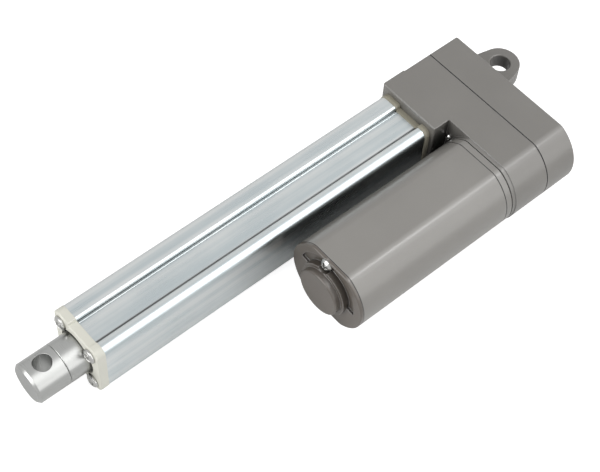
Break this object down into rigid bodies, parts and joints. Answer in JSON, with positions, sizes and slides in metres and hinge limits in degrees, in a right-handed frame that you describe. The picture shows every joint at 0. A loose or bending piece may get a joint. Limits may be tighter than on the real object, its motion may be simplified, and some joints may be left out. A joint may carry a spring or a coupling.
{
  "type": "electric linear actuator",
  "caption": "Electric linear actuator: a motor beside a screw tube, geared together in a cast block, with a rear lug and a rod eye.",
  "frame": {"origin": "centre of the rear lug's pin hole", "axes": "+X along the rod as it extends, +Y from the screw to the motor, +Z along the pin holes"},
  "size_m": [0.2969, 0.0848, 0.039],
  "materials": {
    "housing_paint": "satin warm grey paint",
    "motor_paint": "satin warm grey paint",
    "end_cap_paint": "satin grey brown paint",
    "tube_aluminium": "bright drawn and anodised",
    "cream_plastic": "moulded, fine grain",
    "rod_steel": "ground bright",
    "machined_steel": "turned",
    "screw_steel": "bright plated",
    "seal_rubber": "matte black",
    "bronze": "sintered, oiled",
    "copper": "enamelled copper",
    "laminations": "stacked sheet",
    "magnet": "ferrite, matte",
    "carbon": "carbon, matte",
    "nylon": "moulded, natural",
    "dark_plastic": "moulded black",
    "board": "circuit board"
  },
  "bodies": {
    "housing": {"rear_cover": "housing_paint", "gear_housing": "housing_paint", "motor_flange": "motor_paint", "motor_housing": "motor_paint", "motor_end_cap": "end_cap_paint", "cover_gasket": "seal_rubber", "motor_gasket": "seal_rubber", "wiper_seal": "seal_rubber", "cable_grommet": "seal_rubber", "cover_screws": "screw_steel", "notch_screws": "screw_steel", "motor_bolts": "screw_steel", "tube_rear_screws": "screw_steel", "front_cap_screws": "screw_steel", "rear_collar": "cream_plastic", "front_cap": "cream_plastic", "outer_tube": "tube_aluminium", "idler_plate": "machined_steel", "idler_pin": "machined_steel", "bearing_outer_race": "machined_steel", "bearing_retaining_ring": "machined_steel", "motor_bushes": "bronze", "screw_rear_bush": "bronze", "rod_bush": "bronze", "field_magnets": "magnet", "brushes": "carbon", "brush_holder": "dark_plastic", "limit_switches": "dark_plastic", "switch_board": "board"},
    "armature": {"armature_core": "laminations", "armature_windings": "copper", "commutator": "copper", "motor_shaft": "machined_steel", "pinion": "machined_steel"},
    "idler": {"idler_gear": "nylon"},
    "screw": {"lead_screw": "machined_steel", "main_gear": "nylon", "gear_pin": "machined_steel", "bearing_inner_race": "machined_steel", "thrust_spacer": "machined_steel", "screw_end_washer": "machined_steel"},
    "cage": {"bearing_cage": "nylon", "bearing_balls": "machined_steel"},
    "rod": {"extension_tube": "rod_steel", "drive_nut": "bronze", "nut_guide": "nylon", "rod_eye": "rod_steel"},
    "rear_plunger": {"rear_plunger": "nylon"},
    "front_plunger": {"front_plunger": "nylon"}
  },
  "joints": [
    {"name": "motor_spin", "type": "hinge", "parent": "housing", "child": "armature", "pos_m": [0, 0.04325, 0], "axis": [-1, 0, 0], "range_deg": [0, 59019.2]},
    {"name": "idler_spin", "type": "hinge", "parent": "housing", "child": "idler", "pos_m": [0, 0.02125, 0], "axis": [-1, 0, 0], "range_deg": [-24751, 0]},
    {"name": "screw_spin", "type": "hinge", "parent": "housing", "child": "screw", "pos_m": [0, 0, 0], "axis": [-1, 0, 0], "range_deg": [0, 13501]},
    {"name": "bearing_cage_spin", "type": "hinge", "parent": "housing", "child": "cage", "pos_m": [0, 0, 0], "axis": [-1, 0, 0], "range_deg": [0, 5162.8]},
    {"name": "rod_extend", "type": "slide", "parent": "housing", "child": "rod", "axis": [1, 0, 0], "range_m": [0, 0.1501]},
    {"name": "rear_plunger_travel", "type": "slide", "parent": "housing", "child": "rear_plunger", "axis": [-1, 0, 0], "range_m": [0, 0.0005], "stiffness_N_per_m": 200},
    {"name": "front_plunger_travel", "type": "slide", "parent": "housing", "child": "front_plunger", "axis": [1, 0, 0], "range_m": [0, 0.0005], "stiffness_N_per_m": 200}
  ],
  "couplings": [
    {"joint": "idler_spin", "follows": "motor_spin", "ratio": -0.41935},
    {"joint": "screw_spin", "follows": "motor_spin", "ratio": 0.22874},
    {"joint": "bearing_cage_spin", "follows": "motor_spin", "ratio": 0.087459},
    {"joint": "rod_extend", "follows": "motor_spin", "m_per_rad": 0.00014562}
  ]
}
